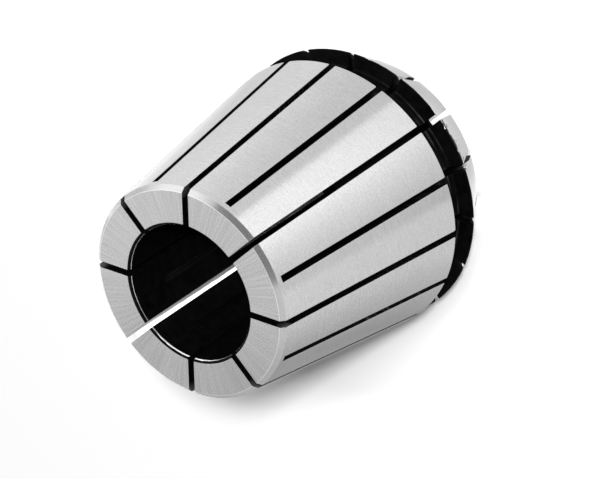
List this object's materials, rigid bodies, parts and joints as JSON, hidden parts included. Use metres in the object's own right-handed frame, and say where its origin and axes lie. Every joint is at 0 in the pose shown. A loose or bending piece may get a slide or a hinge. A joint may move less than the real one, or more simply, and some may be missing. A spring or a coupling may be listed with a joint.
{
  "type": "er collet",
  "caption": "Slotted spring collet that grips a round tool shank: a long slender cone, an extraction groove and a short steep nose cone.",
  "frame": {"origin": "centre of the nose face, which the collet stands on", "axes": "+Z along the bore, from the large nose end to the small rear end; one rear-open slot lies in the -Y half plane"},
  "size_m": [0.041, 0.041, 0.046],
  "materials": {
    "spring_steel": "ground bright on both cones and the end faces, black oxide in the slots, the groove and the bore"
  },
  "bodies": {
    "root": {"collet": "spring_steel"}
  },
  "joints": []
}
